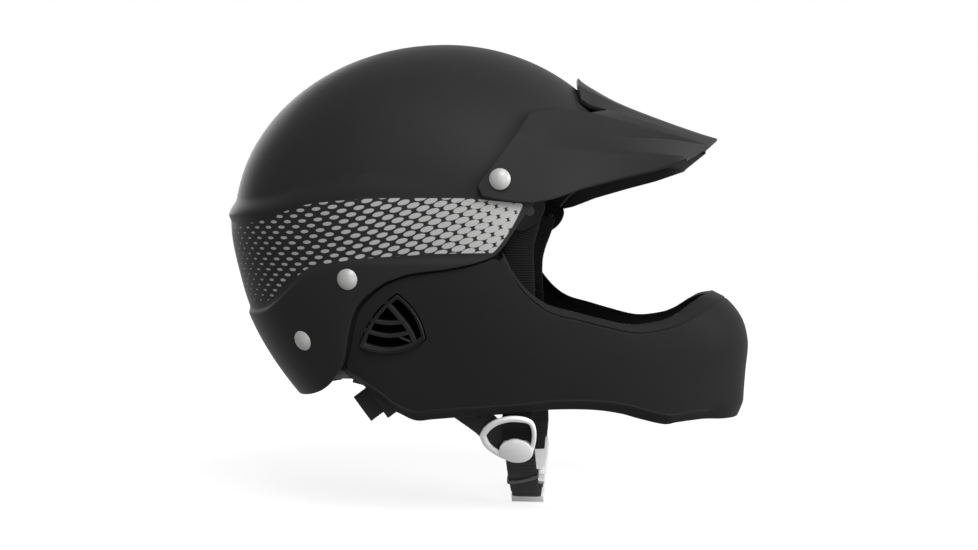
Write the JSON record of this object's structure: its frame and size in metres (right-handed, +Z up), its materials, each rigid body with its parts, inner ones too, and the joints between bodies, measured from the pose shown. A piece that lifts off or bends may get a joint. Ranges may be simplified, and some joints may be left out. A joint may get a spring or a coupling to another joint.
{
  "type": "full-face kayak helmet",
  "caption": "Full-face kayak helmet: domed shell with a low rear lobe, chin guard with side vents, tilting visor, padded liner and a buckled chin strap.",
  "frame": {"origin": "centre of the wearer's head at brow height, where the head carries the helmet", "axes": "+X forward, +Y to the wearer's left, +Z up"},
  "size_m": [0.3614, 0.2206, 0.3217],
  "materials": {
    "shell_plastic": "matte black with fine grain, a band of grey ovals at the side",
    "guard_plastic": "matte black",
    "visor_plastic": "matte black",
    "trim_plastic": "satin black",
    "liner_foam": "closed-cell foam, dull",
    "pad_cloth": "brushed cloth over foam",
    "post_finish": "silvery satin",
    "screw_steel": "plain",
    "dark_screw": "blackened",
    "webbing": "ribbed webbing",
    "white_plastic": "satin near-white",
    "grey_elastic": "dark grey elastic",
    "grey_plastic": "dark grey"
  },
  "bodies": {
    "helmet": {"outer_shell": "shell_plastic", "foam_liner": "liner_foam", "brow_pad": "pad_cloth", "crown_pad": "pad_cloth", "rear_pad": "pad_cloth", "side_pad_left": "pad_cloth", "side_pad_right": "pad_cloth", "chin_guard": "guard_plastic", "cheek_pad_left": "pad_cloth", "cheek_pad_right": "pad_cloth", "chin_pad": "pad_cloth", "vent_grille_left": "trim_plastic", "vent_grille_right": "trim_plastic", "visor_posts": "post_finish", "guard_posts": "post_finish", "post_screws": "screw_steel", "post_washers": "screw_steel", "strap_anchor_left": "trim_plastic", "strap_anchor_right": "trim_plastic", "anchor_screws": "dark_screw", "front_strap_left": "webbing", "front_strap_right": "webbing", "rear_strap_left": "webbing", "rear_strap_right": "webbing", "strap_ring_left": "white_plastic", "strap_ring_right": "white_plastic", "ring_cap_left": "white_plastic", "ring_cap_right": "white_plastic", "cradle_pins": "screw_steel", "cradle_anchor_left": "grey_plastic", "cradle_anchor_right": "grey_plastic", "nape_web_left": "webbing", "nape_web_right": "webbing", "nape_slider_left": "grey_plastic", "nape_slider_right": "grey_plastic"},
    "visor": {"visor": "visor_plastic"},
    "chin_strap": {"chin_strap_left": "webbing", "chin_strap_right": "webbing", "buckle_male": "white_plastic", "ring_pins": "screw_steel"},
    "keeper": {"strap_keeper": "grey_elastic"},
    "buckle_female": {"buckle_female": "white_plastic"},
    "prong_front": {"prong_front": "white_plastic"},
    "prong_rear": {"prong_rear": "white_plastic"},
    "cradle": {"cradle": "trim_plastic", "cradle_pad": "pad_cloth"}
  },
  "joints": [
    {"name": "visor_tilt", "type": "hinge", "parent": "helmet", "child": "visor", "pos_m": [0.084, 0, 0.045], "axis": [0, 1, 0], "range_deg": [-7, 8]},
    {"name": "chin_strap_swing", "type": "hinge", "parent": "helmet", "child": "chin_strap", "pos_m": [0.0893, 0.064, -0.108], "axis": [0, 0.9795, 0.2015], "range_deg": [-20, 20]},
    {"name": "keeper_slide", "type": "slide", "parent": "chin_strap", "child": "keeper", "axis": [0, 0.8, -0.6], "range_m": [-0.005, 0.011]},
    {"name": "buckle_release", "type": "slide", "parent": "chin_strap", "child": "buckle_female", "axis": [0, 0.7804, 0.6252], "range_m": [0, 0.018]},
    {"name": "prong_front_squeeze", "type": "hinge", "parent": "chin_strap", "child": "prong_front", "pos_m": [0.0978, 0.01661, -0.1625], "axis": [0, -0.6252, 0.7804], "range_deg": [0, 5.5], "stiffness_Nm_per_rad": 0.4},
    {"name": "prong_rear_squeeze", "type": "hinge", "parent": "chin_strap", "child": "prong_rear", "pos_m": [0.0842, 0.01661, -0.1625], "axis": [0, 0.6252, -0.7804], "range_deg": [0, 5.5], "stiffness_Nm_per_rad": 0.4},
    {"name": "cradle_swing", "type": "hinge", "parent": "helmet", "child": "cradle", "pos_m": [-0.026, 0, -0.077], "axis": [0, 1, 0], "range_deg": [-8, 10]}
  ]
}
